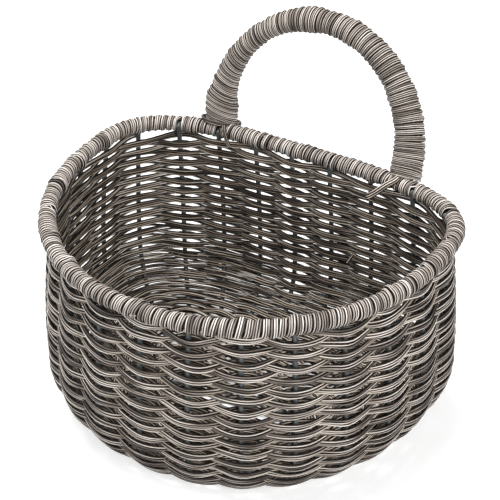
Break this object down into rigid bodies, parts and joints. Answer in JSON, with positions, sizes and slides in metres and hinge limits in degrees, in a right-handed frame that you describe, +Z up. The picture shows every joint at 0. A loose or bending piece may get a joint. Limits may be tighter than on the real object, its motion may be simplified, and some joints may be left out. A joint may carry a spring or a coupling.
{
  "type": "storage basket",
  "caption": "Half-moon wicker storage basket with a flat back, rounded base and a fixed wrapped hoop handle at the back.",
  "frame": {"origin": "on the surface that the basket stands on, in the middle of its width and of its depth with the handle", "axes": "+Z up, +Y towards the flat back and the handle, +X to the right of someone who faces the curved front from outside"},
  "size_m": [0.3476, 0.3054, 0.3103],
  "materials": {
    "wicker": "round streaked grey-brown strand, satin",
    "stake_wire": "dark blue-grey coated wire, satin",
    "pole": "plain cane under the wrapping"
  },
  "bodies": {
    "root": {"base_hoop": "stake_wire", "base_weave_inner_a": "wicker", "base_weave_inner_b": "wicker", "base_weave_outer_a": "wicker", "base_weave_outer_b": "wicker", "foot_collar": "wicker", "foot_lashing_left": "wicker", "foot_lashing_right_1": "wicker", "foot_lashing_right_2": "wicker", "handle_pole": "pole", "handle_wrap": "wicker", "loose_strand_end": "wicker", "rim_ring": "stake_wire", "rim_wrap": "wicker", "stake_01": "stake_wire", "stake_02": "stake_wire", "stake_03": "stake_wire", "stake_04": "stake_wire", "stake_05": "stake_wire", "stake_06": "stake_wire", "stake_07": "stake_wire", "stake_08": "stake_wire", "stake_09": "stake_wire", "stake_10": "stake_wire", "stake_11": "stake_wire", "stake_12": "stake_wire", "stake_13": "stake_wire", "stake_14": "stake_wire", "stake_15": "stake_wire", "stake_16": "stake_wire", "stake_17": "stake_wire", "stake_18": "stake_wire", "stake_19": "stake_wire", "stake_20": "stake_wire", "stake_21": "stake_wire", "stake_22": "stake_wire", "stake_23": "stake_wire", "stake_24": "stake_wire", "wall_weave_a1": "wicker", "wall_weave_a2": "wicker", "wall_weave_a3": "wicker", "wall_weave_a4": "wicker", "wall_weave_a5": "wicker", "wall_weave_b1": "wicker", "wall_weave_b2": "wicker", "wall_weave_b3": "wicker", "wall_weave_b4": "wicker", "wall_weave_b5": "wicker"}
  },
  "joints": []
}
